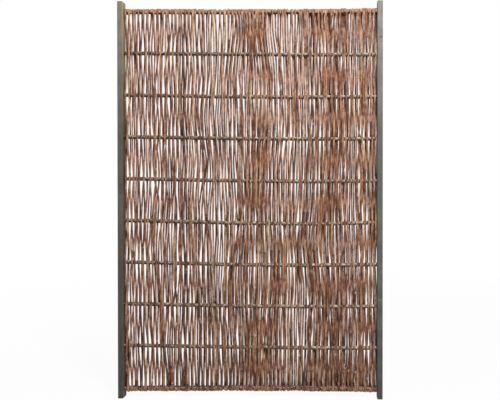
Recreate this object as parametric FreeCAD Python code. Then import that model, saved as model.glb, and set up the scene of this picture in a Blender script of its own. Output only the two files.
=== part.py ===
import FreeCAD, Part
import math
import os

# A woven willow hurdle, the panel of a garden fence. Two sawn posts stand at the sides. Ten round rails cross
# between them, each let into a blind socket in both posts and held there by a nail through the post. Upright
# willow strands are woven through the rails, in front of one and behind the next, and each strand is turned over
# the top rail and under the bottom rail. Neighbouring strands take opposite sides, and four neighbours at a time make
# a bundle.
#
# Frame: millimetres, +Z up, origin on the ground midway between the posts, +X towards the right-hand post as seen
# from the front, -Y towards the front.

# Overall sizes and posts
PANEL_WIDTH = 1200.0  # over the outer faces of the posts
POST_HEIGHT = 1800.0
POST_WIDTH = 24.0  # along the panel
POST_DEPTH = 48.0  # through the panel
POST_EDGE_CHAMFER = 1.5

# Rails
RAIL_COUNT = 10
RAIL_DIAMETER = 18.0
TOP_RAIL_DROP = 45.0  # from the top of the posts down to the top rail's axis
BOTTOM_RAIL_HEIGHT = 42.0  # from the ground up to the bottom rail's axis
INNER_RAIL_FALL = 9.0  # how much lower an inner rail lies at the right-hand post than at the left-hand one
SOCKET_WALL = 8.0  # wood left between a socket's end and the post's outer face
SOCKET_FIT = 0.15  # radial clearance of a rail in its socket
SOCKET_END_GAP = 0.3  # between a rail's end and its socket's end

# Nails, one through the post into each end of each rail
NAIL_DIAMETER = 2.8
NAIL_LENGTH = 55.0  # from under the head to the tip
NAIL_POINT = 5.0  # length of the tapered tip
NAIL_POINT_DIAMETER = 0.8
NAIL_HEAD_DIAMETER = 6.5
NAIL_HEAD_THICKNESS = 1.5
NAIL_HEAD_SINK = 0.4  # how far the head lies below the post's outer face
NAIL_FIT = 0.05  # radial clearance of a nail in its hole
NAIL_TIP_GAP = 0.5  # between the tip and the end of its hole

# Willow strands, four-sided in section and thicker at the butts, which are at the bottom
STRAND_TOP_THICKNESS = 7.2
STRAND_BOTTOM_THICKNESS = 8.6
STRAND_GAP = 1.9  # least clear gap between neighbours where they stand side by side, at their thickest
STRAND_RAIL_CLEARANCE = 0.4
STRAND_POST_CLEARANCE = 0.8
STRANDS_IN_BUNDLE = 4

# Hand work: how the strands stray from straight uprights
SWAY_SHARE = 0.7  # share of the free gap by which a strand leans aside at a rail
SWAY_UNEVENNESS = 0.3  # how much that lean differs from one crossing to the next
SWAY_NEXT_TO_EDGE = 0.5  # what is left of it at the rails beside the top and bottom rails
UNEVEN_STEP_PER_STRAND = 1.9  # radians
UNEVEN_STEP_PER_RAIL = 2.7  # radians
DRIFT = 5.0  # slow side-to-side drift that neighbouring strands share
DRIFT_STRANDS = 62  # strands to one wave of the drift
DRIFT_STEP_PER_RAIL = 0.55  # radians

# Derived sizes
INNER_WIDTH = PANEL_WIDTH - 2 * POST_WIDTH
RAIL_RADIUS = RAIL_DIAMETER / 2
TOP_RAIL_HEIGHT = POST_HEIGHT - TOP_RAIL_DROP
RAIL_PITCH = (TOP_RAIL_HEIGHT - BOTTOM_RAIL_HEIGHT) / (RAIL_COUNT - 1)
LAST_RAIL = RAIL_COUNT - 1
THICKEST_STRAND = max(STRAND_TOP_THICKNESS, STRAND_BOTTOM_THICKNESS)
FIRST_STRAND_X = -INNER_WIDTH / 2 + STRAND_POST_CLEARANCE + THICKEST_STRAND / 2
MOST_STRANDS = -2 * FIRST_STRAND_X / (THICKEST_STRAND + STRAND_GAP) + 1
BUNDLE_COUNT = int(MOST_STRANDS / STRANDS_IN_BUNDLE)
STRAND_COUNT = STRANDS_IN_BUNDLE * BUNDLE_COUNT
STRAND_PITCH = -2 * FIRST_STRAND_X / (STRAND_COUNT - 1)

LEFT, RIGHT = -1, 1
FRONT, BACK = -1, 1
UP, DOWN = 1, -1


def rail_height(rail, x):
    """Height of a rail's axis at x. Rails count from 0 at the top, and only the inner ones slope."""
    fall = 0.0 if rail in (0, LAST_RAIL) else INNER_RAIL_FALL
    return TOP_RAIL_HEIGHT - rail * RAIL_PITCH - fall * x / INNER_WIDTH


def axis_point(rail, x):
    """The point of a rail's axis at x, also beyond the rail's ends."""
    return FreeCAD.Vector(x, 0, rail_height(rail, x))


def rod_between(start, end, radius):
    """A round rod with flat ends, from one point to another."""
    along = end - start
    return Part.makeCylinder(radius, along.Length, start, along)


def rail_end_x(hand):
    """Where a rail ends, inside the socket of the post on that hand."""
    return hand * (PANEL_WIDTH / 2 - SOCKET_WALL - SOCKET_END_GAP)


def nail_at(rail, hand, grow):
    """A nail on the rail's axis, driven from the post's outer face, larger by grow all round to make its hole."""
    outer = axis_point(rail, hand * PANEL_WIDTH / 2)
    inward = axis_point(rail, 0) - outer
    inward.normalize()
    head_top = outer + inward * (NAIL_HEAD_SINK if grow == 0 else -NAIL_HEAD_SINK)
    head_end = outer + inward * (NAIL_HEAD_SINK + NAIL_HEAD_THICKNESS)
    tip_gap = NAIL_TIP_GAP if grow else 0.0
    shank_end = head_end + inward * (NAIL_LENGTH - NAIL_POINT + tip_gap)
    head = rod_between(head_top, head_end, NAIL_HEAD_DIAMETER / 2 + grow)
    shank = rod_between(head_end, shank_end, NAIL_DIAMETER / 2 + grow)
    point = Part.makeCone(
        NAIL_DIAMETER / 2 + grow, NAIL_POINT_DIAMETER / 2 + grow, NAIL_POINT, shank_end, inward
    )
    return head.fuse([shank, point]).removeSplitter()


def make_post(hand):
    """A sawn post with eased edges, sockets for the rails' ends, and nail holes behind the sockets."""
    outer_x = hand * PANEL_WIDTH / 2
    corner = FreeCAD.Vector(min(outer_x, outer_x - hand * POST_WIDTH), -POST_DEPTH / 2, 0)
    post = Part.makeBox(POST_WIDTH, POST_DEPTH, POST_HEIGHT, corner)
    post = post.makeChamfer(POST_EDGE_CHAMFER, post.Edges)
    cutters = []
    for rail in range(RAIL_COUNT):
        socket_end = axis_point(rail, outer_x - hand * SOCKET_WALL)
        mouth = axis_point(rail, outer_x - hand * (POST_WIDTH + RAIL_DIAMETER))
        cutters.append(rod_between(socket_end, mouth, RAIL_RADIUS + SOCKET_FIT))
        cutters.append(nail_at(rail, hand, NAIL_FIT))
    return post.cut(cutters)


def make_rail(rail):
    """A round rail from socket to socket, with a nail hole in each end."""
    rod = rod_between(axis_point(rail, rail_end_x(LEFT)), axis_point(rail, rail_end_x(RIGHT)), RAIL_RADIUS)
    return rod.cut([nail_at(rail, hand, NAIL_FIT) for hand in (LEFT, RIGHT)])


def make_nails(hand):
    """The nails of one post, one solid for each rail."""
    return Part.makeCompound([nail_at(rail, hand, 0) for rail in range(RAIL_COUNT)])


def strand_side(strand, rail):
    """FRONT or BACK: the side of the rail on which a strand passes. It alternates along and across."""
    return FRONT if (strand + rail) % 2 == 0 else BACK


def strand_radius(rail):
    """Half a strand's thickness where it crosses a rail."""
    share = rail / LAST_RAIL
    return (STRAND_TOP_THICKNESS + share * (STRAND_BOTTOM_THICKNESS - STRAND_TOP_THICKNESS)) / 2


def strand_offset(rail):
    """How far in front of or behind a rail's axis a strand's middle passes."""
    return RAIL_RADIUS + STRAND_RAIL_CLEARANCE + strand_radius(rail)


def sway_left(strand, rail):
    """The part of the lean that is left at the edges: none at the outer strands and at the end rails."""
    if strand in (0, STRAND_COUNT - 1) or rail in (0, LAST_RAIL):
        return 0.0
    return SWAY_NEXT_TO_EDGE if rail in (1, LAST_RAIL - 1) else 1.0


def strand_x(strand, rail):
    """Where a strand crosses a rail. Strands in front lean one way there and those behind lean the other way, so
    neighbours close up at one rail, part at the next and stand evenly midway between the two."""
    free_gap = STRAND_PITCH - 2 * strand_radius(rail)
    unevenness = math.sin(UNEVEN_STEP_PER_STRAND * strand + UNEVEN_STEP_PER_RAIL * rail)
    sway = SWAY_SHARE * free_gap * (1 + SWAY_UNEVENNESS * unevenness) * sway_left(strand, rail)
    wave = math.sin(2 * math.pi * strand / DRIFT_STRANDS + DRIFT_STEP_PER_RAIL * rail)
    drift = DRIFT * wave * math.sin(math.pi * strand / (STRAND_COUNT - 1))
    return FIRST_STRAND_X + strand * STRAND_PITCH - strand_side(strand, rail) * sway + drift


def four_corners(centre, radius, across):
    """A four-sided section: its left, front, right and back corners. across runs from the centre to the corner
    that is at the front on the uprights."""
    left = FreeCAD.Vector(-radius, 0, 0)
    return [centre + left, centre + across, centre - left, centre - across]


def crossing_ring(strand, rail):
    """A strand's level section where it crosses a rail."""
    x = strand_x(strand, rail)
    radius = strand_radius(rail)
    centre = FreeCAD.Vector(x, strand_side(strand, rail) * strand_offset(rail), rail_height(rail, x))
    return four_corners(centre, radius, FreeCAD.Vector(0, FRONT * radius, 0))


def hook_rings(strand, rail, way):
    """The sections of the end that is turned over an end rail, from the crossing outwards: a mitred corner beside
    the rail, and the strand's end across it on the other side. way is UP at the top rail and DOWN at the bottom."""
    x = strand_x(strand, rail)
    side = strand_side(strand, rail)
    radius, offset = strand_radius(rail), strand_offset(rail)
    outward_corner = radius if side == FRONT else -radius
    corner_spoke = FreeCAD.Vector(0, side, way)
    end_spoke = FreeCAD.Vector(0, 0, way)
    corner = axis_point(rail, x) + corner_spoke * offset
    end = corner - FreeCAD.Vector(0, 2 * side * offset, 0)
    return [
        four_corners(corner, radius, corner_spoke * outward_corner),
        four_corners(end, radius, end_spoke * outward_corner),
    ]


def flat_face(corners):
    """A flat face with these corners."""
    return Part.Face(Part.makePolygon(corners + corners[:1]))


def make_strand(strand):
    """One woven strand: flat faces between its sections, from its end over the top rail to that under the bottom."""
    rings = hook_rings(strand, 0, UP)[::-1]
    rings += [crossing_ring(strand, rail) for rail in range(RAIL_COUNT)]
    rings += hook_rings(strand, LAST_RAIL, DOWN)
    faces = [flat_face(rings[0]), flat_face(rings[-1][::-1])]
    for upper, lower in zip(rings, rings[1:]):
        for i in range(4):
            j = (i + 1) % 4
            faces.append(flat_face([upper[i], lower[i], lower[j], upper[j]]))
    solid = Part.makeSolid(Part.makeShell(faces))
    return solid if solid.Volume > 0 else solid.reversed()


def make_bundle(bundle):
    """Neighbouring strands, by turns in front of the top rail and behind it."""
    first = bundle * STRANDS_IN_BUNDLE
    return Part.makeCompound([make_strand(strand) for strand in range(first, first + STRANDS_IN_BUNDLE)])


def rail_name(rail):
    """The rails' names, counted from the top."""
    if rail == 0:
        return "top_rail"
    return "bottom_rail" if rail == LAST_RAIL else f"rail_{rail + 1:02d}"


def main():
    os.makedirs("parts", exist_ok=True)
    nodes = {"left_post": make_post(LEFT), "right_post": make_post(RIGHT)}
    nodes["left_post_nails"] = make_nails(LEFT)
    nodes["right_post_nails"] = make_nails(RIGHT)
    for rail in range(RAIL_COUNT):
        nodes[rail_name(rail)] = make_rail(rail)
    for bundle in range(BUNDLE_COUNT):
        nodes[f"willow_bundle_{bundle + 1:02d}"] = make_bundle(bundle)
    for name, shape in nodes.items():
        shape.exportStep(f"parts/{name}.step")
    print(len(nodes), "nodes,", STRAND_COUNT, "strands,", f"pitch {STRAND_PITCH:.2f} mm")


main()
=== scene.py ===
"""Looks of a woven willow hurdle: its withies, rails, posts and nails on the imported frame, and the
studio round them."""

import logging
import math
from collections.abc import Callable
from dataclasses import dataclass, field
from enum import Enum
from functools import partial
from typing import Any

import bpy
import numpy as np
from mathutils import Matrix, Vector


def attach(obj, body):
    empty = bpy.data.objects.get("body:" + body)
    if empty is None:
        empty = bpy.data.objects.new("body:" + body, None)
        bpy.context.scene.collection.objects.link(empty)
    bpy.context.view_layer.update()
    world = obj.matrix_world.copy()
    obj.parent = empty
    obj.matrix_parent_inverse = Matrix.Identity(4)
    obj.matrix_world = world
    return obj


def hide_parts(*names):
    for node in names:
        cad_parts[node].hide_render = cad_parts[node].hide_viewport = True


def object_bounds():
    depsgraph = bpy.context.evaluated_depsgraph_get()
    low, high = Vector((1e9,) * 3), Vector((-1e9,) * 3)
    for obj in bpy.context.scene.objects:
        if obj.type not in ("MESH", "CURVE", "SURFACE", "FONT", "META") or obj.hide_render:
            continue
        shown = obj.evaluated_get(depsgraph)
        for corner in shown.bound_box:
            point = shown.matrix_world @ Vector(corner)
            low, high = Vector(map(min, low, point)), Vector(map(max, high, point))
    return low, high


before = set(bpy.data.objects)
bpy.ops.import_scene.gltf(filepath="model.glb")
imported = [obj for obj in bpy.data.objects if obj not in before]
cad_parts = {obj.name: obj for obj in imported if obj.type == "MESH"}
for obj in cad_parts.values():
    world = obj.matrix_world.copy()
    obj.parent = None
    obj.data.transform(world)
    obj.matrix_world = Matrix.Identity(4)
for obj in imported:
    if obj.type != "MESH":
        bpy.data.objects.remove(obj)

LOG = logging.getLogger("hurdle")
MM = 0.001
CAD_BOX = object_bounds()
IMAGE_WIDTH, IMAGE_HEIGHT = 500, 400
WHITE = "#ffffff"
RIGHT, UP = np.array([1.0, 0.0, 0.0]), np.array([0.0, 0.0, 1.0])
# Most values of a noise pattern lie between these two
NOISE_LOW, NOISE_HIGH = 0.3, 0.7
# Sockets of a Mix node that mixes colours, and its settings where it multiplies them
FACTOR, FIRST, SECOND, MIXED = 0, 6, 7, 2
MIX_COLOURS = {"data_type": "RGBA"}
MULTIPLY_COLOURS = {"data_type": "RGBA", "blend_type": "MULTIPLY", FACTOR: 1.0}
# Keeps the last point of a curve inside its last span
SPAN_MARGIN = 1e-6
# Keeps a distance that is divided by off nought
LEAST_DISTANCE = 1e-9

AddNode = Callable[[str, dict[Any, Any], dict[Any, Any]], bpy.types.Node]


class Slot(Enum):
    """Names of the record's material slots for the rails and the withies. Nothing here uses them."""

    RAIL = "rail_bark"
    WILLOW = "willow_bark"


class Side(Enum):
    """Which side of a rail a strand passes, as the sign of y."""

    FRONT = -1
    BACK = 1


class End(Enum):
    """Which end of a withy is turned over its rail, as the sign of z outwards."""

    TOP = 1
    BOTTOM = -1


def linear(hex_colour: str) -> tuple[float, float, float, float]:
    """Turns an sRGB hex colour into linear RGBA by the sRGB curve.

    Args:
        hex_colour: a colour such as "#8a5640".

    Returns:
        Red, green, blue and alpha, linear.
    """
    srgb = np.array([int(hex_colour[i : i + 2], 16) for i in (1, 3, 5)]) / 255
    rgb = np.where(srgb <= 0.04045, srgb / 12.92, ((srgb + 0.055) / 1.055) ** 2.4)
    return (*(float(c) for c in rgb), 1.0)


def linear_rgb(hex_colour: str) -> np.ndarray:
    """The linear red, green and blue of an sRGB hex colour."""
    return np.array(linear(hex_colour)[:3])


def add_node(
    tree: bpy.types.NodeTree, kind: str, settings: dict[Any, Any], links: dict[Any, Any]
) -> bpy.types.Node:
    """Adds a shader node with its settings and links.

    Args:
        tree: the node tree that gets the node.
        kind: the node's type name, without the part that all share.
        settings: property names, or input names or numbers, with their values; "stops" sets a
            colour ramp.
        links: input names or numbers with the output sockets that feed them.

    Returns:
        The new node.
    """
    node = tree.nodes.new(f"ShaderNode{kind}")
    for name, value in settings.items():
        if name == "stops":
            elements = node.color_ramp.elements
            while len(elements) < len(value):
                elements.new(1.0)
            for element, (place, colour) in zip(elements, value):
                element.position, element.color = place, colour
        elif isinstance(name, str) and hasattr(node, name):
            setattr(node, name, value)
        else:
            node.inputs[name].default_value = value
    for name, socket in links.items():
        tree.links.new(socket, node.inputs[name])
    return node


def new_material(name: str) -> tuple[bpy.types.Material, AddNode]:
    """Makes a material with no nodes.

    Args:
        name: the material's name.

    Returns:
        The material, and add_node for its node tree.
    """
    material = bpy.data.materials.new(name)
    material.use_nodes = True
    material.node_tree.nodes.clear()
    return material, partial(add_node, material.node_tree)


def wander(rng: np.random.Generator, rows: int, length: int, knots: int) -> np.ndarray:
    """Smooth random curves: random values at evenly spaced knots, joined by half cosine waves.

    Args:
        rng: the seeded source of the values.
        rows: how many curves.
        length: points on each curve.
        knots: spans between the knots of each curve.

    Returns:
        Values from -1 to 1, one row for each curve.
    """
    values = rng.uniform(-1, 1, (rows, knots + 1))
    place = np.linspace(0, knots - SPAN_MARGIN, length)
    knot = place.astype(int)
    ease = (1 - np.cos(np.pi * (place - knot))) / 2
    return values[:, knot] * (1 - ease) + values[:, knot + 1] * ease


def smoothed(rows: np.ndarray, reach: int) -> np.ndarray:
    """Evens rows out: each value becomes the mean of those within reach steps of it, weighted by a
    raised cosine.

    Args:
        rows: values shaped (rows, length).
        reach: how many steps to either side count.

    Returns:
        The evened values, of the same shape.
    """
    place = np.arange(rows.shape[1])
    apart = np.abs(place[:, None] - place) / (reach + 1)
    weight = np.where(apart < 1, 1 + np.cos(np.pi * apart), 0)
    return rows @ (weight / weight.sum(axis=1, keepdims=True)).T


def tube_points(
    centres: np.ndarray, radii: np.ndarray, sides: int, across: np.ndarray
) -> np.ndarray:
    """Round profiles carried along paths: each ring is centre + radius (cos a b + sin a n), where b
    is the fixed direction across made square to the path's tangent t, and n = t x b.

    Args:
        centres: path points, shaped (paths, rings, 3).
        radii: the radius at each ring and angle, shaped (paths, rings, sides).
        sides: points on a ring.
        across: a direction that no path runs along.

    Returns:
        Points shaped (paths, rings, sides, 3).
    """
    tangent = np.gradient(centres, axis=1)
    tangent /= np.linalg.norm(tangent, axis=2, keepdims=True)
    b = across - (tangent @ across)[..., None] * tangent
    b /= np.linalg.norm(b, axis=2, keepdims=True)
    n = np.cross(tangent, b)
    angle = np.linspace(0, 2 * np.pi, sides, endpoint=False)[:, None]
    spokes = np.cos(angle) * b[:, :, None, :] + np.sin(angle) * n[:, :, None, :]
    return centres[:, :, None, :] + radii[..., None] * spokes


def tube_object(
    name: str, points: np.ndarray, tones: np.ndarray, end_tones: np.ndarray
) -> bpy.types.Object:
    """Makes one mesh of closed tubes, with a colour on each face corner.

    Args:
        name: the piece's name.
        points: rings shaped (paths, rings, sides, 3).
        tones: linear RGB of each point, shaped likewise.
        end_tones: linear RGB of the cuts at the first and at the last end, shaped (2, 3).

    Returns:
        The new object, at the origin.
    """
    paths, rings, sides, _ = points.shape
    index = np.arange(paths * rings * sides).reshape(paths, rings, sides)
    turned = np.roll(index, -1, axis=2)
    corners = (index[:, :-1], turned[:, :-1], turned[:, 1:], index[:, 1:])
    quads = np.stack(corners, axis=-1).reshape(-1, 4)
    caps = np.concatenate([index[:, 0, ::-1], index[:, -1]])
    mesh = bpy.data.meshes.new(name)
    mesh.from_pydata(points.reshape(-1, 3).tolist(), [], quads.tolist() + caps.tolist())
    smooth = np.ones(len(mesh.polygons), bool)
    smooth[len(quads) :] = False
    mesh.polygons.foreach_set("use_smooth", smooth)
    colours = np.ones((quads.size + caps.size, 4), np.float32)
    colours[: quads.size, :3] = tones.reshape(-1, 3)[quads.ravel()]
    colours[quads.size :, :3] = np.repeat(end_tones, paths * sides, axis=0)
    tone = mesh.color_attributes.new("bark_tone", "FLOAT_COLOR", "CORNER")
    tone.data.foreach_set("color", colours.ravel())
    mesh.update()
    piece = bpy.data.objects.new(name, mesh)
    bpy.context.scene.collection.objects.link(piece)
    return piece


def node_points(name: str) -> np.ndarray:
    """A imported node's points.

    Args:
        name: the node.

    Returns:
        Points shaped (n, 3), in metres.
    """
    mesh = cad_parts[name].data
    flat = np.empty(3 * len(mesh.vertices), np.float32)
    mesh.vertices.foreach_get("co", flat)
    return flat.reshape(-1, 3).astype(float)


def dress(
    piece: bpy.types.Object, material: bpy.types.Material, node: str
) -> bpy.types.Object:
    """Gives a new piece its finish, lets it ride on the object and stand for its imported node.

    Args:
        piece: the new piece.
        material: its finish.
        node: the node that it stands for.

    Returns:
        The piece.
    """
    piece.data.materials.append(material)
    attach(piece, "root")
    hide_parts(node)
    return piece


@dataclass(frozen=True)
class WoodFinish:
    """What the wooden finishes share: how rough and glossy they are, and their fine relief."""

    roughness: float
    sheen: float
    relief_mm: float
    relief_strength: float

    def close(
        self, add: AddNode, colour: bpy.types.NodeSocket, relief: bpy.types.NodeSocket
    ) -> None:
        """Ends a material with its relief, its surface and its output.

        Args:
            add: add_node for the material's node tree.
            colour: the socket with its colour.
            relief: the socket with its relief.
        """
        bump = add(
            "Bump",
            {"Strength": self.relief_strength, "Distance": self.relief_mm * MM},
            {"Height": relief},
        )
        skin = add(
            "BsdfPrincipled",
            {"Roughness": self.roughness, "Specular IOR Level": self.sheen},
            {"Base Color": colour, "Normal": bump.outputs["Normal"]},
        )
        add("OutputMaterial", {}, {"Surface": skin.outputs["BSDF"]})


@dataclass(frozen=True)
class WillowBark(WoodFinish):
    """Dried willow with its bark on: thin, smooth skin from red-brown to tan with a dull sheen,
    soft blotches and fine lengthwise wrinkles. Each withy's own colours are in the mesh."""

    roughness: float = 0.55
    sheen: float = 0.2
    relief_mm: float = 0.4
    relief_strength: float = 0.35
    blotch_mm: float = 14.0
    blotch_share: float = 0.4
    blotch_shades: tuple[float, float] = (0.58, 1.42)
    # Real wrinkles are well under a millimetre apart: drawn coarser, so that they show
    wrinkle_mm: float = 1.6
    wrinkle_share: float = 0.12

    def build(self) -> bpy.types.Material:
        """Makes the material.

        Returns:
            The material.
        """
        material, add = new_material("dried_willow_bark")
        place = add("TexCoord", {}, {})
        stretched, drawn_out = (
            add("Mapping", {"Scale": (1.0, 1.0, share)}, {"Vector": place.outputs["Object"]})
            for share in (self.blotch_share, self.wrinkle_share)
        )
        tone = add("Attribute", {"attribute_name": "bark_tone"}, {})
        blotch = add(
            "TexNoise",
            {"Scale": 1 / (self.blotch_mm * MM), "Detail": 4.0, "Roughness": 0.75},
            {"Vector": stretched.outputs["Vector"]},
        )
        dark, light = self.blotch_shades
        shade = add(
            "MapRange",
            {"From Min": NOISE_LOW, "From Max": NOISE_HIGH, "To Min": dark, "To Max": light},
            {"Value": blotch.outputs["Fac"]},
        )
        coloured = add(
            "Mix", MULTIPLY_COLOURS, {FIRST: tone.outputs["Color"], SECOND: shade.outputs["Result"]}
        )
        wrinkle = add(
            "TexNoise",
            {"Scale": 1 / (self.wrinkle_mm * MM), "Detail": 2.0},
            {"Vector": drawn_out.outputs["Vector"]},
        )
        self.close(add, coloured.outputs[MIXED], wrinkle.outputs["Fac"])
        return material


@dataclass(frozen=True)
class RailBark(WoodFinish):
    """A peeled and weathered cross rod: mottled grey-olive skin with dark streaks along it, paler
    where it is rubbed and towards the right-hand post, and with painted shade on the side that
    faces down. The bottom rail, near the ground, is darker all round."""

    dark: str = "#4a4034"
    plain: str = "#948570"
    pale: str = "#cabda7"
    tone_stops: tuple[float, float, float] = (0.36, 0.49, 0.64)
    roughness: float = 0.7
    sheen: float = 0.25
    relief_mm: float = 0.8
    relief_strength: float = 0.5
    streak_mm: float = 9.0
    streak_share: float = 0.4
    paler_to_right: float = 0.06
    panel_half_mm: float = 600.0
    # Painted shade: the side that faces down is darkened to this share of its colour
    underside_shade: float = 0.2
    underside_shade_facing: tuple[float, float] = (-0.3, 0.5)
    bottom_rail: float = 0.4
    bottom_rail_mm: tuple[float, float] = (80.0, 120.0)

    def build(self) -> bpy.types.Material:
        """Makes the material.

        Returns:
            The material.
        """
        material, add = new_material("weathered_rail_bark")
        place = add("TexCoord", {}, {})
        stretched = add(
            "Mapping", {"Scale": (self.streak_share, 1.0, 1.0)}, {"Vector": place.outputs["Object"]}
        )
        streak = add(
            "TexNoise",
            {"Scale": 1 / (self.streak_mm * MM), "Detail": 4.0, "Roughness": 0.65},
            {"Vector": stretched.outputs["Vector"]},
        )
        axes = add("SeparateXYZ", {}, {"Vector": place.outputs["Object"]})
        half, more = self.panel_half_mm * MM, self.paler_to_right
        paler = add(
            "MapRange",
            {"From Min": -half, "From Max": half, "To Min": -more, "To Max": more},
            {"Value": axes.outputs["X"]},
        )
        weathered = add(
            "Math", {"operation": "ADD"}, {0: streak.outputs["Fac"], 1: paler.outputs["Result"]}
        )
        tones = [linear(tone) for tone in (self.dark, self.plain, self.pale)]
        colour = add(
            "ValToRGB", {"stops": list(zip(self.tone_stops, tones))}, {"Fac": weathered.outputs[0]}
        )
        facing = add("SeparateXYZ", {}, {"Vector": place.outputs["Normal"]})
        start, end = self.underside_shade_facing
        # Painted shade, by how far the surface faces down
        dark_below = add(
            "MapRange",
            {"From Min": start, "From Max": end, "To Min": self.underside_shade, "To Max": 1.0},
            {"Value": facing.outputs["Z"]},
        )
        start, end = (mm * MM for mm in self.bottom_rail_mm)
        low = add(
            "MapRange",
            {"From Min": start, "From Max": end, "To Min": self.bottom_rail, "To Max": 1.0},
            {"Value": axes.outputs["Z"]},
        )
        # The painted shade underneath, times the bottom rail's darker colour
        darker = add(
            "Math", {"operation": "MULTIPLY"}, {0: dark_below.outputs["Result"], 1: low.outputs["Result"]}
        )
        darkened = add(
            "Mix", MULTIPLY_COLOURS, {FIRST: colour.outputs["Color"], SECOND: darker.outputs[0]}
        )
        self.close(add, darkened.outputs[MIXED], streak.outputs["Fac"])
        return material


@dataclass(frozen=True)
class SawnPostWood(WoodFinish):
    """Sawn softwood left outdoors: grey and matt, with lengthwise grain, stains, a knot and a
    chipped spot. It is darker towards the ground and paler towards the top, and darker on the
    left-hand post. On that post's inner face it is brown, with painted shade where the weave
    shades it, turning tan towards the top."""

    # Tones by height: darker towards the ground, paler towards the top
    dark_below: str = "#484944"
    weathered: str = "#5d5d58"
    pale_top_tone: str = "#807d76"
    left_tint: str = "#e0ded8"
    # The left post's inner face: brown with painted shade where the weave shades it, then tan at the
    # top
    shaded_inner_face: str = "#5e5145"
    inner_face_top: str = "#a59571"
    dark_below_mm: float = 100.0
    weathered_mm: float = 1200.0
    top_mm: float = 1800.0
    inner_facing: float = 0.3
    # The knot, which is dark, and the chipped spot, which is pale
    marks_mm: tuple[tuple[float, ...], ...] = ((592.0, -24.0, 1636.0), (586.0, -24.0, 450.0))
    mark_shades: tuple[float, ...] = (0.3, 1.5)
    mark_size_mm: tuple[float, float, float] = (11.0, 9.0, 5.0)
    mark_core: float = 0.35
    roughness: float = 0.85
    sheen: float = 0.2
    relief_mm: float = 0.6
    relief_strength: float = 0.5
    # Real year rings are a millimetre or two apart: drawn coarser, so that they show
    grain_mm: float = 4.0
    grain_share: float = 0.04
    grain_shades: tuple[float, float] = (0.74, 1.24)
    stain_mm: float = 60.0
    stain_shades: tuple[float, float] = (0.82, 1.16)

    def build(self) -> bpy.types.Material:
        """Makes the material.

        Returns:
            The material.
        """
        material, add = new_material("weathered_sawn_softwood")
        place = add("TexCoord", {}, {})
        sided = self.build_weathering(add, place)
        stretched = add(
            "Mapping", {"Scale": (1.0, 1.0, self.grain_share)}, {"Vector": place.outputs["Object"]}
        )
        grain = add(
            "TexNoise",
            {"Scale": 1 / (self.grain_mm * MM), "Detail": 5.0, "Roughness": 0.65},
            {"Vector": stretched.outputs["Vector"]},
        )
        stain = add(
            "TexNoise",
            {"Scale": 1 / (self.stain_mm * MM), "Detail": 3.0},
            {"Vector": place.outputs["Object"]},
        )
        grained, stained = (
            add(
                "MapRange",
                {"From Min": NOISE_LOW, "From Max": NOISE_HIGH, "To Min": dark, "To Max": light},
                {"Value": pattern.outputs["Fac"]},
            )
            for pattern, (dark, light) in ((grain, self.grain_shades), (stain, self.stain_shades))
        )
        shade = add(
            "Math", {"operation": "MULTIPLY"}, {0: grained.outputs[0], 1: stained.outputs[0]}
        )
        for spot, mark_shade in zip(self.marks_mm, self.mark_shades):
            around = add(
                "Mapping",
                {
                    "vector_type": "TEXTURE",
                    "Location": tuple(mm * MM for mm in spot),
                    "Scale": tuple(mm * MM for mm in self.mark_size_mm),
                },
                {"Vector": place.outputs["Object"]},
            )
            away = add("VectorMath", {"operation": "LENGTH"}, {0: around.outputs["Vector"]})
            mark = add(
                "MapRange",
                {"From Min": self.mark_core, "From Max": 1.0, "To Min": mark_shade, "To Max": 1.0},
                {"Value": away.outputs["Value"]},
            )
            shade = add(
                "Math", {"operation": "MULTIPLY"}, {0: shade.outputs[0], 1: mark.outputs[0]}
            )
        colour = add("Mix", MULTIPLY_COLOURS, {FIRST: sided, SECOND: shade.outputs[0]})
        self.close(add, colour.outputs[MIXED], grain.outputs["Fac"])
        return material

    def build_weathering(self, add: AddNode, place: bpy.types.Node) -> bpy.types.NodeSocket:
        """The wood's colour by height, post and face, without its grain, and with painted shade on
        the left post's inner face.

        Args:
            add: add_node for the material's node tree.
            place: its Texture Coordinate node.

        Returns:
            The socket with the colour.
        """
        axes = add("SeparateXYZ", {}, {"Vector": place.outputs["Object"]})
        facing = add("SeparateXYZ", {}, {"Vector": place.outputs["Normal"]})
        height = add(
            "MapRange",
            {"From Min": 0.0, "From Max": self.top_mm * MM},
            {"Value": axes.outputs["Z"]},
        )
        low, middle = self.dark_below_mm / self.top_mm, self.weathered_mm / self.top_mm
        open_tones = ((low, self.dark_below), (middle, self.weathered), (1.0, self.pale_top_tone))
        # The inner face's ramp: brown with painted shade from the weave up to the middle, then tan
        # towards the top
        inner_face_tones = ((middle, self.shaded_inner_face), (1.0, self.inner_face_top))
        greyed, browned = (
            add(
                "ValToRGB",
                {"stops": [(share, linear(tone)) for share, tone in tones]},
                {"Fac": height.outputs["Result"]},
            )
            for tones in (open_tones, inner_face_tones)
        )
        left = add("Math", {"operation": "LESS_THAN", 1: 0.0}, {0: axes.outputs["X"]})
        tinted = add(
            "Mix",
            {**MULTIPLY_COLOURS, SECOND: linear(self.left_tint)},
            {FACTOR: left.outputs[0], FIRST: greyed.outputs["Color"]},
        )
        inner = add(
            "Math", {"operation": "GREATER_THAN", 1: self.inner_facing}, {0: facing.outputs["X"]}
        )
        # Where the inner face's painted shade goes: the left post's faces that face +x
        shaded_inner_face = add(
            "Math", {"operation": "MULTIPLY"}, {0: inner.outputs[0], 1: left.outputs[0]}
        )
        sided = add(
            "Mix",
            MIX_COLOURS,
            {
                FACTOR: shaded_inner_face.outputs[0],
                FIRST: tinted.outputs[MIXED],
                SECOND: browned.outputs["Color"],
            },
        )
        return sided.outputs[MIXED]


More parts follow.
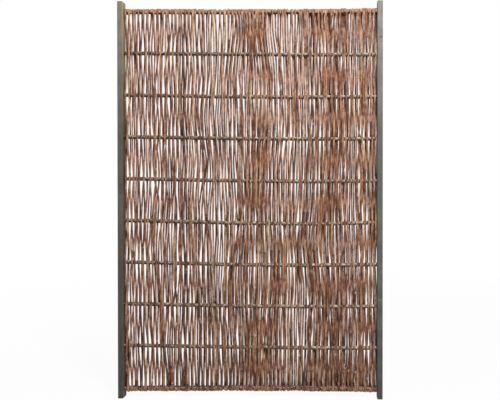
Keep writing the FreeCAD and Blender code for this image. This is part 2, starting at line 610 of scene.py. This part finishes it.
@dataclass(frozen=True)
class NailSteel:
    """Plain wire-nail steel gone dull outdoors: grey metal with brown rust freckles."""

    steel: str = "#6f6e6b"
    rust: str = "#5a3a26"
    tone_stops: tuple[float, float] = (0.45, 0.6)
    freckle_mm: float = 1.2
    roughness: float = 0.5
    metallic: float = 0.8

    def build(self) -> bpy.types.Material:
        """Makes the material.

        Returns:
            The material.
        """
        material, add = new_material("dull_nail_steel")
        place = add("TexCoord", {}, {})
        freckle = add(
            "TexNoise",
            {"Scale": 1 / (self.freckle_mm * MM), "Detail": 3.0},
            {"Vector": place.outputs["Object"]},
        )
        tones = [linear(tone) for tone in (self.steel, self.rust)]
        colour = add(
            "ValToRGB",
            {"stops": list(zip(self.tone_stops, tones))},
            {"Fac": freckle.outputs["Fac"]},
        )
        skin = add(
            "BsdfPrincipled",
            {"Roughness": self.roughness, "Metallic": self.metallic},
            {"Base Color": colour.outputs["Color"]},
        )
        add("OutputMaterial", {}, {"Surface": skin.outputs["BSDF"]})
        return material


@dataclass
class CrossRails:
    """The ten round rails between the posts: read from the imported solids, made as natural rods."""

    names: tuple[str, ...] = ("top_rail", *(f"rail_{n:02d}" for n in range(2, 10)), "bottom_rail")
    radius: float = 9.0 * MM
    thin_end: float = 0.95
    sags_mm: tuple[float, ...] = (2.0, 2.5, 5.0, 4.0, 6.5, 9.5, 8.0, 6.5, 3.0, -4.0)
    sag_skew: float = 1.4
    crook: float = 1.2 * MM
    crook_knots: int = 9
    unevenness: float = 0.02
    knots_along: int = 30
    knots_around: int = 4
    rings: int = 240
    sides: int = 14
    seed: int = 5
    ends: np.ndarray = field(init=False)
    crooks: np.ndarray = field(init=False)

    def __post_init__(self) -> None:
        """Reads each rail's two end points, shaped (rails, 2, 3), and draws its crook."""
        rng = np.random.default_rng(self.seed)
        self.ends = np.array([self.end_points(name) for name in self.names])
        self.crooks = self.crook * wander(rng, len(self.names), self.rings, self.crook_knots)

    def end_points(self, name: str) -> list[list[float]]:
        """The middles of a rail's two ends.

        Args:
            name: the rail's node.

        Returns:
            The left and the right end point.
        """
        points = node_points(name)
        x = points[:, 0]
        tips = [points[np.abs(x - x_end) < MM] for x_end in (x.min(), x.max())]
        return [((tip.min(axis=0) + tip.max(axis=0)) / 2).tolist() for tip in tips]

    def heights(self, rail: int, x: np.ndarray) -> np.ndarray:
        """Height of a rail's axis at x: a straight line between its ends, with its crook and less
        its sag, both fading out at the posts as a sine that is greatest right of the middle.

        Args:
            rail: the rail, counted from the top.
            x: places along it.

        Returns:
            The heights there.
        """
        (x0, _, z0), (x1, _, z1) = self.ends[rail]
        share = np.clip((x - x0) / (x1 - x0), 0, 1)
        crook = np.interp(share, np.linspace(0, 1, self.rings), self.crooks[rail])
        fade = np.sin(np.pi * share**self.sag_skew)
        return z0 + share * (z1 - z0) + (crook - self.sags_mm[rail] * MM) * fade

    def build(self, material: bpy.types.Material) -> list[bpy.types.Object]:
        """Makes the rails: a round profile along the axis, thinner at the left and the right end in
        turn, and a little uneven along and around.

        Args:
            material: the rails' finish.

        Returns:
            The ten rails.
        """
        rng = np.random.default_rng(self.seed + 1)
        share = np.linspace(0, 1, self.rings)
        pieces = []
        for rail, name in enumerate(self.names):
            x = np.linspace(self.ends[rail, 0, 0], self.ends[rail, 1, 0], self.rings)
            centres = np.stack([x, np.zeros_like(x), self.heights(rail, x)], axis=-1)[None]
            taper = 1 - (1 - self.thin_end) * (share if rail % 2 else 1 - share)
            around = wander(rng, self.rings, self.sides + 1, self.knots_around)[:, :-1]
            along = wander(rng, 1, self.rings, self.knots_along)[0]
            radii = self.radius * taper * (1 + self.unevenness * along)
            radii = radii[:, None] * (1 + self.unevenness * around)
            points = tube_points(centres, radii[None], self.sides, UP)
            piece = tube_object(f"natural_{name}", points, np.ones_like(points), np.ones((2, 3)))
            pieces.append(dress(piece, material, name))
        return pieces


@dataclass
class WillowWeave:
    """The willow withies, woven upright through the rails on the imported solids' strands."""

    rails: CrossRails
    bundles: int = 27
    strands_in_bundle: int = 4
    steps_per_cell: int = 30
    sides: int = 8
    seed: int = 21
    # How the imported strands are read
    section_half: float = 0.4 * MM
    strand_gap: float = 8 * MM
    # Number and thickness of the withies
    double_share: float = 0.155
    double_jitter: float = 0.5
    tip_radius: float = 3.7 * MM
    butt_radius: float = 4.5 * MM
    butts_down: float = 0.75
    thickness_spread: float = 0.12
    thickness_limits: tuple[float, float] = (0.75, 1.3)
    # Places across and in depth
    rail_reach: float = 9.2 * MM
    post_face: float = 576 * MM
    hold: float = 0.04
    gap_spread: float = 0.5 * MM
    lean: float = 7.0 * MM
    lean_together: int = 14
    most_sway: float = 1.9 * MM
    sway_end: float = 350 * MM
    top_sway: float = 0.25
    rail_stray: float = 2.6 * MM
    straightened: float = 0.15
    crook: float = 0.35 * MM
    kink: float = 0.25 * MM
    kinks_per_cell: int = 6
    depth_stray: float = 4.0 * MM
    depth_knots_per_rail: int = 2
    # Withies that change places with others
    strays: int = 46
    stray_cells: int = 3
    fewest_places: float = 1.1
    most_places: float = 2.6
    # How overlapping withies are parted
    part_rounds: int = 120
    part_neighbours: int = 4
    part_push: float = 0.4
    evening_rounds: int = 2
    evening: float = 0.4
    post_clearance: float = 0.5 * MM
    # Ends turned over the top and bottom rails
    hook_steps: int = 12
    hook_lean_mm: float = 1.5
    hook_lean_spread_mm: float = 1.5
    tail_steps: int = 3
    tail_mm: tuple[float, float] = (1.0, 8.0)
    wrap_width: float = 1.25
    wrap_thickness: float = 0.75
    wrap_fade_steps: int = 5
    # Surface
    swell: float = 0.05
    swell_knots: int = 60
    scar_share: float = 0.2
    scar_swell: float = 0.16
    scar_dark: float = 0.6
    pale_share: float = 0.04
    # Colours
    tones: tuple[str, ...] = (
        "#875841", "#9b6e51", "#624033", "#7e6051", "#8d5e43", "#a58260", "#754b3c"
    )
    tone_shares: tuple[float, ...] = (0.27, 0.18, 0.16, 0.14, 0.12, 0.07, 0.06)
    mix_middle: float = 0.45
    mix_swing: float = 0.6
    mix_knots: int = 24
    shade_swing: float = 0.44
    shade_knots: int = 110
    dust: str = "#b59073"
    dust_share: float = 1.15
    paler_top: float = 0.17
    # Painted highlight: the ends turned over the top rail are mixed towards this light tan, more on
    # the right
    top_wrap_highlight: str = "#bd9570"
    top_wrap_highlight_share: float = 0.42
    top_wrap_highlight_to_right: float = 0.1
    top_wrap_highlight_fade_steps: int = 6
    pale_scar: str = "#c6a88d"
    top_cut: str = "#6b5040"
    bottom_cut: str = "#d2b68c"
    strand_of: np.ndarray = field(init=False)
    start_side: np.ndarray = field(init=False)

    @property
    def end_steps(self) -> int:
        """Steps of an end that is turned over a rail, with its tail."""
        return self.hook_steps + self.tail_steps

    def crossings(self) -> np.ndarray:
        """Where each strand crosses each rail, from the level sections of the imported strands: those
        on one side of the rail, parted at their gaps, have their middles at the strands' places.

        Returns:
            x shaped (strands, rails).
        """
        x_all = np.zeros((self.bundles * self.strands_in_bundle, len(self.rails.names)))
        for bundle in range(self.bundles):
            points = node_points(f"willow_bundle_{bundle + 1:02d}")
            for rail in range(x_all.shape[1]):
                (x0, _, z0), (x1, _, z1) = self.rails.ends[rail]
                height = z0 + (points[:, 0] - x0) / (x1 - x0) * (z1 - z0)
                level = points[np.abs(points[:, 2] - height) < self.section_half]
                for parity, side in enumerate((Side.FRONT, Side.BACK)):
                    x = np.sort(level[level[:, 1] * side.value > 0, 0])
                    groups = np.split(x, np.flatnonzero(np.diff(x) > self.strand_gap) + 1)
                    first = bundle * self.strands_in_bundle + (parity + rail) % 2
                    x_all[first : first + self.strands_in_bundle : 2, rail] = [
                        (group[0] + group[-1]) / 2 for group in groups
                    ]
        return x_all

    def build(self, material: bpy.types.Material) -> list[bpy.types.Object]:
        """Lays, parts and hooks the withies and makes one piece of each bundle. In depth a withy
        goes as a cosine from one side of a rail to the other side of the next, and strays between.

        Args:
            material: the withies' finish.

        Returns:
            The pieces, one for each bundle.
        """
        rng = np.random.default_rng(self.seed)
        strand_x = self.crossings()
        rail_count = strand_x.shape[1]
        self.choose_strands(len(strand_x), rng)
        level = np.linspace(0, rail_count - 1, (rail_count - 1) * self.steps_per_cell + 1)
        radii = self.thicknesses(level / (rail_count - 1), rng)
        x = self.lay_across(strand_x, radii, level, rng)
        y = self.start_side[:, None] * np.cos(np.pi * level) * (self.rail_reach + radii)
        stray = wander(rng, len(y), len(level), self.depth_knots_per_rail * rail_count)
        y += self.depth_stray * stray * np.abs(np.sin(np.pi * level))
        x, y = self.part(x, y, radii)

        at_rails = x[:, :: self.steps_per_cell]
        z_rail = np.stack(
            [self.rails.heights(rail, at_rails[:, rail]) for rail in range(rail_count)], axis=1
        )
        above = np.minimum(level.astype(int), rail_count - 2)
        down = level - above
        z = z_rail[:, above] * (1 - down) + z_rail[:, above + 1] * down
        body = np.stack([x, y, z], axis=-1)
        top = self.hook(body[:, 0], radii[:, 0], End.TOP, rng)
        bottom = self.hook(body[:, -1], radii[:, -1], End.BOTTOM, rng)
        centres = np.concatenate([top[:, ::-1], body, bottom], axis=1)
        radii = np.pad(radii, ((0, 0), (self.end_steps, self.end_steps)), mode="edge")
        return self.make_pieces(material, centres, radii, rng)

    def choose_strands(self, count: int, rng: np.random.Generator) -> None:
        """Gives each strand one withy, or two at about even spacings.

        Args:
            count: how many strands.
            rng: the seeded source.
        """
        jitter = rng.uniform(0, self.double_jitter, count)
        reached = self.double_share * np.arange(1, count + 1) + jitter
        doubled = np.diff(np.floor(reached), prepend=0) > 0
        self.strand_of = np.repeat(np.arange(count), 1 + doubled)
        self.start_side = np.where(self.strand_of % 2 == 0, Side.FRONT.value, Side.BACK.value)

    def thicknesses(self, share: np.ndarray, rng: np.random.Generator) -> np.ndarray:
        """Radii that grow evenly from tip to butt, most butts being at the bottom, each withy of
        its own thickness.

        Args:
            share: how far down each level lies, from 0 to 1.
            rng: the seeded source.

        Returns:
            Radii shaped (withies, levels).
        """
        count = len(self.strand_of)
        butt_down = rng.random(count) < self.butts_down
        along = np.where(butt_down[:, None], share, 1 - share)
        own = np.clip(rng.normal(1, self.thickness_spread, count), *self.thickness_limits)
        return (self.tip_radius + (self.butt_radius - self.tip_radius) * along) * own[:, None]

    def lay_across(
        self, strand_x: np.ndarray, radii: np.ndarray, level: np.ndarray, rng: np.random.Generator
    ) -> np.ndarray:
        """Places the withies across the panel.

        Midway between two rails they stand side by side, each with the room that its thickness
        needs and held near its strand, by least squares, and lean aside together with their
        neighbours. The strays stand among others there. At a rail those in front sway towards the
        right and those behind towards the left, most at the left-hand post and little at the top
        rail, and each strays besides. Between these places they run nearly straight, with small
        crooks and kinks.

        Args:
            strand_x: the strands' places at the rails.
            radii: the withies' radii.
            level: the levels, counted in rails from the top.
            rng: the seeded source.

        Returns:
            x shaped (withies, levels).
        """
        count, cells = len(self.strand_of), strand_x.shape[1] - 1
        half = self.steps_per_cell // 2
        wanted = (strand_x[self.strand_of, 1:] + strand_x[self.strand_of, :-1]) / 2
        twin = np.diff(self.strand_of, prepend=-1) == 0
        wanted += np.where(twin, 1, 0)[:, None] * self.tip_radius
        wanted[:-1] -= np.where(twin[1:], 1, 0)[:, None] * self.tip_radius
        step = np.diff(np.eye(count), axis=0)
        pull = step.T @ step + self.hold * np.eye(count)
        at_cell = np.zeros((count, cells))
        shared = smoothed(rng.normal(0, 1, (cells, count)), self.lean_together).T
        shared *= self.lean / shared.std()
        places = np.arange(count)[:, None] + self.stray_places(count, cells, rng)
        for cell in range(cells):
            order = np.argsort(places[:, cell])
            radius = radii[order, cell * self.steps_per_cell + half]
            contact = radius[1:] + radius[:-1]
            near = np.sort(wanted[:, cell])
            spare = (np.ptp(near) - contact.sum()) / (count - 1)
            apart = contact + spare + self.gap_spread * rng.normal(0, 1, count - 1)
            side_by_side = np.linalg.solve(pull, step.T @ apart + self.hold * near)
            leant = shared[:, cell] * (1 - (side_by_side / self.post_face) ** 2)
            at_cell[order, cell] = side_by_side + leant

        rails = np.arange(cells + 1)
        ends = np.pad(at_cell, ((0, 0), (1, 1)), mode="edge")
        at_rail = (ends[:, 1:] + ends[:, :-1]) / 2
        side = self.start_side[:, None] * np.where(rails % 2 == 0, 1, -1)
        sway = self.most_sway * (self.sway_end - at_rail) / (self.sway_end + self.post_face)
        at_rail -= side * sway * np.minimum(1, self.top_sway + (1 - self.top_sway) * rails)
        at_rail += self.rail_stray * rng.normal(0, 1, at_rail.shape)

        # Four knots a cell: at the rail, midway between the rails, and between these
        per_cell = 4
        knots = np.zeros((count, per_cell * cells + 1))
        knots[:, ::per_cell] = at_rail
        straight_across = (at_rail[:, 1:] + at_rail[:, :-1]) / 2
        midway = self.straightened * straight_across + (1 - self.straightened) * at_cell
        knots[:, per_cell // 2 :: per_cell] = midway
        crooks = self.crook * rng.normal(0, 1, (count, 2 * cells))
        knots[:, 1::2] = (knots[:, :-1:2] + knots[:, 2::2]) / 2 + crooks
        place = np.minimum(level * per_cell, per_cell * cells - SPAN_MARGIN)
        knot = place.astype(int)
        straight = knots[:, knot] * (1 - (place - knot)) + knots[:, knot + 1] * (place - knot)
        kinks = self.kink * wander(rng, count, len(level), self.kinks_per_cell * cells)
        return smoothed(straight, self.steps_per_cell // per_cell) + kinks

    def stray_places(self, count: int, cells: int, rng: np.random.Generator) -> np.ndarray:
        """How many places to the right or left of its own each withy stands in each cell: most
        withies none, the strays one or more, over a few cells.

        Args:
            count: the withies.
            cells: the cells between the rails.
            rng: the seeded source.

        Returns:
            Places shaped (withies, cells).
        """
        first = rng.integers(-1, cells, self.strays)[:, None]
        last = first + rng.integers(1, self.stray_cells + 1, self.strays)[:, None]
        far = rng.uniform(self.fewest_places, self.most_places, self.strays)
        far *= rng.choice([-1, 1], self.strays)
        away = (np.arange(cells) >= first) & (np.arange(cells) < last)
        places = np.zeros((count, cells))
        places[rng.choice(count, self.strays, replace=False)] = far[:, None] * away
        return places

    def part(
        self, x: np.ndarray, y: np.ndarray, radii: np.ndarray
    ) -> tuple[np.ndarray, np.ndarray]:
        """Moves withies out of each other: each round pushes neighbours apart by part of their
        overlap at every level, evens the shifts out along each withy and keeps it outside the rails
        and posts.

        Args:
            x: across, shaped (withies, levels).
            y: depth, shaped likewise.
            radii: radii, shaped likewise.

        Returns:
            The parted x and y.
        """
        shift = np.zeros((2, *x.shape))
        rest = np.stack([x, y])
        at_rails = slice(None, None, self.steps_per_cell)
        side = np.sign(y[:, at_rails])
        reach = self.rail_reach + radii[:, at_rails]
        limit = self.post_face - radii - self.post_clearance
        for _ in range(self.part_rounds):
            now = rest + shift
            for gap in range(1, self.part_neighbours + 1):
                apart = now[:, gap:] - now[:, :-gap]
                apart[1][:, [0, -1]] = 0
                distance = np.hypot(*apart) + LEAST_DISTANCE
                overlap = np.maximum(0, radii[gap:] + radii[:-gap] - distance)
                push = self.part_push * overlap * apart / distance
                shift[:, gap:] += push
                shift[:, :-gap] -= push
            for _ in range(self.evening_rounds):
                bend = shift[:, :, 2:] - 2 * shift[:, :, 1:-1] + shift[:, :, :-2]
                shift[:, :, 1:-1] += self.evening * bend
            shift[0] = np.clip(rest[0] + shift[0], -limit, limit) - rest[0]
            out = (rest[1] + shift[1])[:, at_rails] * side
            shift[1][:, at_rails] += side * np.maximum(0, reach - out)
        return rest[0] + shift[0], rest[1] + shift[1]

    def hook(
        self, start: np.ndarray, radii: np.ndarray, end: End, rng: np.random.Generator
    ) -> np.ndarray:
        """The ends turned over an end rail: half a circle round the rail's axis, pressed against
        the rail and leaning aside as it goes over, then a short straight tail on the other side.

        Args:
            start: where each withy reaches the rail, shaped (withies, 3).
            radii: its radius there.
            end: which end is turned over.
            rng: the seeded source of the leans and tails.

        Returns:
            Path points outwards from the rail, shaped (withies, steps, 3).
        """
        count = len(start)
        side = np.sign(start[:, 1:2])
        turn = np.linspace(0, np.pi, self.hook_steps + 1)[1:]
        pressed = 1 - (1 - self.wrap_thickness) * np.minimum(1, 2 * turn / np.pi)
        reach = self.rail_reach + radii[:, None] * pressed
        lean = rng.normal(self.hook_lean_mm, self.hook_lean_spread_mm, count)[:, None] * MM * side
        x = start[:, :1] + lean * turn / np.pi
        y = side * reach * np.cos(turn)
        z = start[:, 2:] + end.value * reach * np.sin(turn)
        along = np.linspace(0, 1, self.tail_steps + 1)[1:]
        drop = along * rng.uniform(*self.tail_mm, count)[:, None] * MM
        tail_x, tail_y = (np.repeat(line[:, -1:], self.tail_steps, axis=1) for line in (x, y))
        tail_z = start[:, 2:] - end.value * drop
        curve = np.stack([x, y, z], axis=-1)
        tail = np.stack([tail_x, tail_y, tail_z], axis=-1)
        return np.concatenate([curve, tail], axis=1)

    def make_pieces(
        self,
        material: bpy.types.Material,
        centres: np.ndarray,
        radii: np.ndarray,
        rng: np.random.Generator,
    ) -> list[bpy.types.Object]:
        """Makes the withies' meshes, one piece for each bundle.

        Args:
            material: the withies' finish.
            centres: path points, shaped (withies, rings, 3).
            radii: radii, shaped (withies, rings).
            rng: the seeded source of colours, scars and swellings.

        Returns:
            The pieces.
        """
        angle = np.linspace(0, 2 * np.pi, self.sides, endpoint=False)
        tones = self.bark_tones(centres, rng)[:, :, None]
        mark, pale = self.leaf_scars(radii.shape, angle, rng)
        tones = tones * (1 - self.scar_dark * mark[..., None])
        tones = tones * (1 - pale[..., None]) + pale[..., None] * linear_rgb(self.pale_scar)
        points = tube_points(centres, self.ring_radii(radii, mark, angle, rng), self.sides, RIGHT)
        cuts = np.array([linear_rgb(self.top_cut), linear_rgb(self.bottom_cut)])
        pieces = []
        for bundle in range(self.bundles):
            chosen = self.strand_of // self.strands_in_bundle == bundle
            piece = tube_object(f"withies_{bundle + 1:02d}", points[chosen], tones[chosen], cuts)
            pieces.append(dress(piece, material, f"willow_bundle_{bundle + 1:02d}"))
        return pieces

    def bark_tones(self, centres: np.ndarray, rng: np.random.Generator) -> np.ndarray:
        """Colours along the withies: each goes smoothly between its own tone and another, in darker
        stretches and in stretches that dust pales, paler towards the top and darker towards the
        ground, with a painted highlight of light tan where it is turned over the top rail, most of
        all on the right.

        Args:
            centres: path points, shaped (withies, rings, 3).
            rng: the seeded source.

        Returns:
            Linear RGB shaped (withies, rings, 3).
        """
        count, rings, _ = centres.shape
        palette = np.array([linear_rgb(tone) for tone in self.tones])
        own = palette[rng.choice(len(palette), count, p=self.tone_shares)][:, None]
        other = palette[rng.choice(len(palette), count, p=self.tone_shares)][:, None]
        mix = self.mix_middle + self.mix_swing * wander(rng, count, rings, self.mix_knots)
        mix = np.clip(mix, 0, 1)[..., None]
        shade = self.shade_swing * wander(rng, count, rings, self.shade_knots)[..., None]
        dusty = self.dust_share * np.maximum(0, shade)
        tones = (own * (1 - mix) + other * mix) * (1 + np.minimum(0, shade))
        tones = tones * (1 - dusty) + dusty * linear_rgb(self.dust)
        tones = tones * np.linspace(1 + self.paler_top, 1 - self.paler_top, rings)[:, None]
        # Painted highlight on the ends turned over the top rail, stronger towards the right
        faded = self.hook_steps + self.top_wrap_highlight_fade_steps
        over = [0, self.tail_steps, self.hook_steps, faded]
        wrap_highlight = np.interp(np.arange(rings), over, [0, 1, 1, 0])[:, None]
        to_right = centres[:, :1, :1] / self.post_face
        wrap_highlight = wrap_highlight * (self.top_wrap_highlight_share + self.top_wrap_highlight_to_right * to_right)
        return tones * (1 - wrap_highlight) + wrap_highlight * linear_rgb(self.top_wrap_highlight)

    def leaf_scars(
        self, shape: tuple[int, ...], angle: np.ndarray, rng: np.random.Generator
    ) -> tuple[np.ndarray, np.ndarray]:
        """Leaf scars: at a share of the rings the withy is marked on one side, by the cosine of the
        angle from there where it is above nought. A few of the marks are pale.

        Args:
            shape: how many withies and rings.
            angle: the angles of a ring's points.
            rng: the seeded source.

        Returns:
            The strengths of all marks and of the pale ones, shaped (withies, rings, sides).
        """
        facing = rng.uniform(0, 2 * np.pi, (*shape, 1))
        kind = rng.random((*shape, 1))
        mark = (kind < self.scar_share) * np.maximum(0, np.cos(angle - facing))
        return mark, mark * (kind < self.scar_share * self.pale_share)

    def ring_radii(
        self, radii: np.ndarray, mark: np.ndarray, angle: np.ndarray, rng: np.random.Generator
    ) -> np.ndarray:
        """Radii round the rings: the withy's own, with soft swellings and more at a scar, times
        those of an oval, wide and flat where the end is turned over its rail and round elsewhere.

        Args:
            radii: the withies' radii, shaped (withies, rings).
            mark: the scars' strengths, shaped (withies, rings, sides).
            angle: the angles of a ring's points.
            rng: the seeded source.

        Returns:
            Radii shaped (withies, rings, sides).
        """
        count, rings = radii.shape
        swell = 1 + self.swell * wander(rng, count, rings, self.swell_knots)
        to_end = np.minimum(np.arange(rings), np.arange(rings)[::-1])[:, None]
        fade = self.wrap_fade_steps
        folded = np.clip((self.end_steps + fade - to_end) / fade, 0, 1)
        width = 1 + (self.wrap_width - 1) * folded
        thickness = 1 - (1 - self.wrap_thickness) * folded
        oval = 1 / np.hypot(np.cos(angle) / width, np.sin(angle) / thickness)
        return (radii * swell)[..., None] * oval * (1 + self.scar_swell * mark)


@dataclass
class Posts:
    """The two sawn posts and the nails through them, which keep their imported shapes."""

    posts: tuple[str, ...] = ("left_post", "right_post")
    nails: tuple[str, ...] = ("left_post_nails", "right_post_nails")

    def dress(self, wood: bpy.types.Material, steel: bpy.types.Material) -> list[bpy.types.Object]:
        """Gives posts and nails their finishes.

        Args:
            wood: the posts' finish.
            steel: the nails' finish.

        Returns:
            The dressed nodes.
        """
        dressed = []
        for names, material in ((self.posts, wood), (self.nails, steel)):
            for name in names:
                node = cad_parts[name]
                node.data.materials.clear()
                node.data.materials.append(material)
                dressed.append(node)
        return dressed


@dataclass(frozen=True)
class Lamp:
    """A square soft lamp that faces the middle of the panel, with its side in metres."""

    name: str
    place: tuple[float, float, float]
    side: float
    watts: float

    def build(self) -> None:
        """Makes the lamp and turns it."""
        data = bpy.data.lights.new(self.name, "AREA")
        data.size = self.side
        data.energy = self.watts
        lamp = bpy.data.objects.new(self.name, data)
        lamp.location = self.place
        middle = (CAD_BOX[0] + CAD_BOX[1]) / 2
        lamp.rotation_euler = (middle - lamp.location).to_track_quat("-Z", "Y").to_euler()
        bpy.context.scene.collection.objects.link(lamp)


@dataclass
class Studio:
    """A pale floor and a white surround, a key lamp at the upper right, a soft fill at the left, a
    lamp for the back, and the photograph's viewpoint. Lengths are in metres, turns in degrees."""

    mm_per_pixel: float = 4.5086
    panel_middle_pixel: float = 249.7
    ground_pixel: float = 399.96
    turned_left: float = 0.66
    tilted_down: float = 0.46
    distance: float = 2.87
    eye_x: float = 0.35
    eye_z: float = 0.97
    sensor_mm: float = 36.0
    ambient: float = 0.19
    floor_half: float = 12.0
    floor_colour: str = "#f2f2f0"
    floor_near: float = 1.0
    floor_far: float = 4.5
    floor_share: float = 0.93
    lamps: tuple[Lamp, ...] = (
        Lamp("key", (1.6, -3.2, 3.3), 0.8, 184.0),
        Lamp("fill", (-2.6, -3.0, 1.4), 2.0, 32.0),
        Lamp("back", (-1.4, 3.2, 2.4), 2.0, 70.0),
    )

    def build(self) -> None:
        """Makes the camera, floor, surround and lamps."""
        self.build_camera()
        self.build_floor()
        self.build_surround()
        for lamp in self.lamps:
            lamp.build()
        bpy.context.scene.view_settings.view_transform = "Standard"

    def build_camera(self) -> None:
        """Looks along +Y from right of the middle, turned a little left and tilted a little down,
        and shifts the picture so that the panel's middle and the ground fall on their pixels."""
        data = bpy.data.cameras.new("camera")
        pixel = self.mm_per_pixel * MM
        focal_pixels = self.distance / pixel
        data.sensor_width = self.sensor_mm
        data.lens = focal_pixels * self.sensor_mm / IMAGE_WIDTH
        turn, tilt = math.radians(self.turned_left), math.radians(self.tilted_down)
        axis_x = self.panel_middle_pixel + self.eye_x / pixel - focal_pixels * math.tan(turn)
        axis_y = self.ground_pixel - self.eye_z / pixel + focal_pixels * math.tan(tilt)
        data.shift_x = (IMAGE_WIDTH / 2 - axis_x) / IMAGE_WIDTH
        data.shift_y = (axis_y - IMAGE_HEIGHT / 2) / IMAGE_WIDTH
        camera = bpy.data.objects.new("camera", data)
        camera.location = (self.eye_x, CAD_BOX[0].y - self.distance, self.eye_z)
        camera.rotation_euler = (math.pi / 2 - tilt, 0, turn)
        bpy.context.scene.collection.objects.link(camera)
        bpy.context.scene.camera = camera

    def build_floor(self) -> None:
        """A large pale floor that takes the object's shadow and, to the camera, turns to white
        further out."""
        half = self.floor_half
        corners = [(-half, -half, 0), (half, -half, 0), (half, half, 0), (-half, half, 0)]
        mesh = bpy.data.meshes.new("floor")
        mesh.from_pydata(corners, [], [(0, 1, 2, 3)])
        floor = bpy.data.objects.new("floor", mesh)
        bpy.context.scene.collection.objects.link(floor)
        material, add = new_material("white_studio_floor")
        seen = self.seen_directly(add)
        place = add("TexCoord", {}, {})
        away = add("VectorMath", {"operation": "LENGTH"}, {0: place.outputs["Object"]})
        whiter = add(
            "MapRange",
            {"From Min": self.floor_near, "From Max": self.floor_far, "To Min": self.floor_share},
            {"Value": away.outputs["Value"]},
        )
        matt = add("BsdfDiffuse", {"Color": linear(self.floor_colour)}, {})
        white = add("Emission", {"Color": linear(WHITE), "Strength": 1.0}, {})
        share = add("Math", {"operation": "MULTIPLY"}, {0: seen, 1: whiter.outputs["Result"]})
        mixed = add("MixShader", {}, {0: share.outputs[0], 1: matt.outputs[0], 2: white.outputs[0]})
        add("OutputMaterial", {}, {"Surface": mixed.outputs[0]})
        mesh.materials.append(material)

    def seen_directly(self, add: AddNode) -> bpy.types.NodeSocket:
        """A value of 1 for camera, glossy and transmission rays, and 0 for light that falls on the
        object.

        Args:
            add: add_node for the node tree that gets the nodes.

        Returns:
            The socket with that value.
        """
        ray = add("LightPath", {}, {})
        seen = ray.outputs["Is Camera Ray"]
        for kind in ("Is Glossy Ray", "Is Transmission Ray"):
            either = add("Math", {"operation": "MAXIMUM"}, {0: seen, 1: ray.outputs[kind]})
            seen = either.outputs[0]
        return seen

    def build_surround(self) -> None:
        """A white surround that lights the object softly."""
        world = bpy.data.worlds.new("surround")
        world.use_nodes = True
        world.node_tree.nodes.clear()
        add = partial(add_node, world.node_tree)
        soft, white = (
            add("Background", {"Strength": strength, "Color": linear(WHITE)}, {})
            for strength in (self.ambient, 1.0)
        )
        mixed = add(
            "MixShader", {}, {0: self.seen_directly(add), 1: soft.outputs[0], 2: white.outputs[0]}
        )
        add("OutputWorld", {}, {"Surface": mixed.outputs[0]})
        bpy.context.scene.world = world


def main() -> None:
    """Builds the hurdle's pieces and the studio."""
    logging.basicConfig(level=logging.INFO, format="%(message)s")
    rails = CrossRails()
    weave = WillowWeave(rails)
    made = rails.build(RailBark().build())
    made += weave.build(WillowBark().build())
    made += Posts().dress(SawnPostWood().build(), NailSteel().build())
    for piece in made:
        LOG.info("%s: %d faces", piece.name, len(piece.data.polygons))
    Studio().build()


if __name__ == "__main__":
    main()
